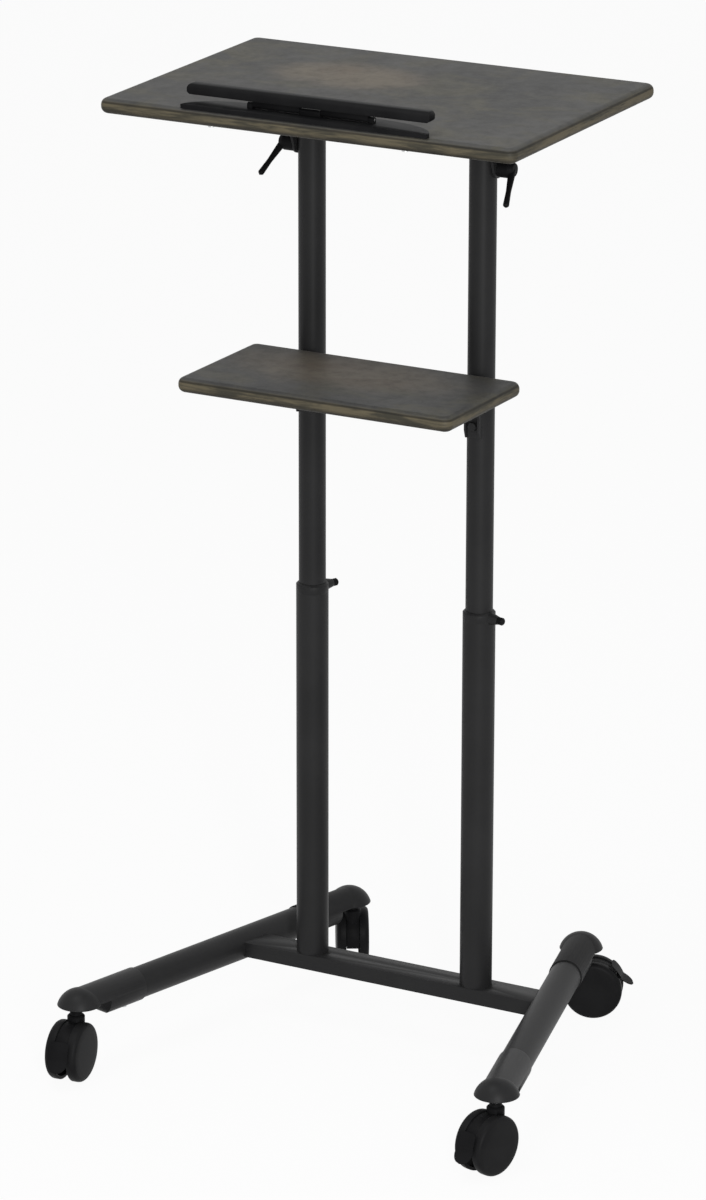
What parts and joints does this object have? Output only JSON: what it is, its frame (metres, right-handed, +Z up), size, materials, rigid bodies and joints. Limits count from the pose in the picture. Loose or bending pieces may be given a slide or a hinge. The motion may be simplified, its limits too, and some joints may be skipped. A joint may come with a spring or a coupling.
{
  "type": "mobile lectern",
  "caption": "Height-adjustable rolling lectern: tilting laminate table top with a fold-down book stop, a shelf, telescopic tube columns and splayed legs on braked twin-wheel casters.",
  "frame": {"origin": "on the floor, under the middle of the whole object's outline", "axes": "+X to the reader's right along the crossbar, +Y from the reader towards the audience, +Z up"},
  "size_m": [0.6236, 0.6, 1.2306],
  "materials": {
    "coated_steel": "satin black powder coat",
    "black_plastic": "fine-grained black",
    "wheel_plastic": "smooth black",
    "laminate": "dark rustic laminate on a board core, slight sheen",
    "bright_steel": "zinc plated",
    "nylon": "plain dark nylon"
  },
  "bodies": {
    "base": {"crossbar": "coated_steel", "left_leg_tube": "coated_steel", "right_leg_tube": "coated_steel", "front_left_shoe": "black_plastic", "front_right_shoe": "black_plastic", "rear_left_shoe": "black_plastic", "rear_right_shoe": "black_plastic", "shoe_screws": "bright_steel", "left_outer_tube": "coated_steel", "right_outer_tube": "coated_steel", "outer_tube_plugs": "bright_steel", "column_bolts": "bright_steel", "left_collar": "black_plastic", "right_collar": "black_plastic", "lock_pads": "nylon", "caster_stems": "bright_steel"},
    "lift": {"left_inner_tube": "coated_steel", "right_inner_tube": "coated_steel", "inner_tube_glides": "nylon", "left_head_plug": "black_plastic", "right_head_plug": "black_plastic", "left_pivot_stud": "coated_steel", "right_pivot_stud": "coated_steel", "shelf_board": "laminate", "left_shelf_bracket": "coated_steel", "right_shelf_bracket": "coated_steel", "shelf_screws": "bright_steel", "shelf_bracket_bolts": "coated_steel"},
    "top": {"table_top": "laminate", "left_tilt_bracket": "coated_steel", "right_tilt_bracket": "coated_steel", "tilt_washers": "coated_steel", "bracket_screws": "bright_steel", "book_stop_base": "black_plastic", "book_stop_pin": "bright_steel", "book_stop_screws": "bright_steel"},
    "stop_lip": {"book_stop_lip": "black_plastic"},
    "left_tilt_lever": {"left_tilt_lever": "black_plastic"},
    "right_tilt_lever": {"right_tilt_lever": "black_plastic"},
    "left_lock_knob": {"left_lock_knob": "black_plastic"},
    "right_lock_knob": {"right_lock_knob": "black_plastic"},
    "front_left_caster": {"front_left_caster_body": "black_plastic"},
    "front_left_wheelset": {"front_left_wheels": "wheel_plastic", "front_left_axle": "bright_steel"},
    "front_left_brake": {"front_left_brake_pedal": "black_plastic"},
    "front_right_caster": {"front_right_caster_body": "black_plastic"},
    "front_right_wheelset": {"front_right_wheels": "wheel_plastic", "front_right_axle": "bright_steel"},
    "front_right_brake": {"front_right_brake_pedal": "black_plastic"},
    "rear_left_caster": {"rear_left_caster_body": "black_plastic"},
    "rear_left_wheelset": {"rear_left_wheels": "wheel_plastic", "rear_left_axle": "bright_steel"},
    "rear_left_brake": {"rear_left_brake_pedal": "black_plastic"},
    "rear_right_caster": {"rear_right_caster_body": "black_plastic"},
    "rear_right_wheelset": {"rear_right_wheels": "wheel_plastic", "rear_right_axle": "bright_steel"},
    "rear_right_brake": {"rear_right_brake_pedal": "black_plastic"}
  },
  "joints": [
    {"name": "height_slide", "type": "slide", "parent": "base", "child": "lift", "axis": [0, 0, 1], "range_m": [-0.21, 0.13]},
    {"name": "table_tilt", "type": "hinge", "parent": "lift", "child": "top", "pos_m": [0, 0.04355, 1.12], "axis": [1, 0, 0], "range_deg": [-1, 44]},
    {"name": "stop_lip_fold", "type": "hinge", "parent": "top", "child": "stop_lip", "pos_m": [0, -0.16209, 1.21202], "axis": [-1, 0, 0], "range_deg": [0, 90]},
    {"name": "left_lever_turn", "type": "hinge", "parent": "lift", "child": "left_tilt_lever", "pos_m": [-0.114, 0.04355, 1.12], "axis": [1, 0, 0], "range_deg": [-35, 90]},
    {"name": "right_lever_turn", "type": "hinge", "parent": "lift", "child": "right_tilt_lever", "pos_m": [0.114, 0.04355, 1.12], "axis": [1, 0, 0], "range_deg": [-35, 90]},
    {"name": "left_lock_turn", "type": "hinge", "parent": "base", "child": "left_lock_knob", "pos_m": [-0.114, 0.04355, 0.5705], "axis": [0.4067, 0.9135, 0], "range_deg": [0, 360]},
    {"name": "right_lock_turn", "type": "hinge", "parent": "base", "child": "right_lock_knob", "pos_m": [0.114, 0.04355, 0.5705], "axis": [0.9781, -0.2079, 0], "range_deg": [0, 360]},
    {"name": "front_left_swivel", "type": "hinge", "parent": "base", "child": "front_left_caster", "pos_m": [-0.28635, -0.23612, 0.083], "axis": [0, 0, 1], "continuous": true},
    {"name": "front_left_wheel_spin", "type": "hinge", "parent": "front_left_caster", "child": "front_left_wheelset", "pos_m": [-0.28452, -0.25101, 0.0365], "axis": [-0.9925, -0.1219, 0], "continuous": true},
    {"name": "front_left_brake_press", "type": "hinge", "parent": "front_left_caster", "child": "front_left_brake", "pos_m": [-0.28452, -0.25101, 0.0365], "axis": [-0.9925, -0.1219, 0], "range_deg": [0, 20]},
    {"name": "front_right_swivel", "type": "hinge", "parent": "base", "child": "front_right_caster", "pos_m": [0.28635, -0.23612, 0.083], "axis": [0, 0, 1], "continuous": true},
    {"name": "front_right_wheel_spin", "type": "hinge", "parent": "front_right_caster", "child": "front_right_wheelset", "pos_m": [0.28285, -0.25071, 0.0365], "axis": [-0.9724, 0.2334, 0], "continuous": true},
    {"name": "front_right_brake_press", "type": "hinge", "parent": "front_right_caster", "child": "front_right_brake", "pos_m": [0.28285, -0.25071, 0.0365], "axis": [-0.9724, 0.2334, 0], "range_deg": [0, 20]},
    {"name": "rear_left_swivel", "type": "hinge", "parent": "base", "child": "rear_left_caster", "pos_m": [-0.16334, 0.23612, 0.083], "axis": [0, 0, 1], "continuous": true},
    {"name": "rear_left_wheel_spin", "type": "hinge", "parent": "rear_left_caster", "child": "rear_left_wheelset", "pos_m": [-0.17106, 0.24898, 0.0365], "axis": [0.8572, 0.515, 0], "continuous": true},
    {"name": "rear_left_brake_press", "type": "hinge", "parent": "rear_left_caster", "child": "rear_left_brake", "pos_m": [-0.17106, 0.24898, 0.0365], "axis": [0.8572, 0.515, 0], "range_deg": [-20, 0]},
    {"name": "rear_right_swivel", "type": "hinge", "parent": "base", "child": "rear_right_caster", "pos_m": [0.16334, 0.23612, 0.083], "axis": [0, 0, 1], "continuous": true},
    {"name": "rear_right_wheel_spin", "type": "hinge", "parent": "rear_right_caster", "child": "rear_right_wheelset", "pos_m": [0.17725, 0.24174, 0.0365], "axis": [0.3746, -0.9272, 0], "continuous": true},
    {"name": "rear_right_brake_press", "type": "hinge", "parent": "rear_right_caster", "child": "rear_right_brake", "pos_m": [0.17725, 0.24174, 0.0365], "axis": [0.3746, -0.9272, 0], "range_deg": [-20, 0]}
  ]
}
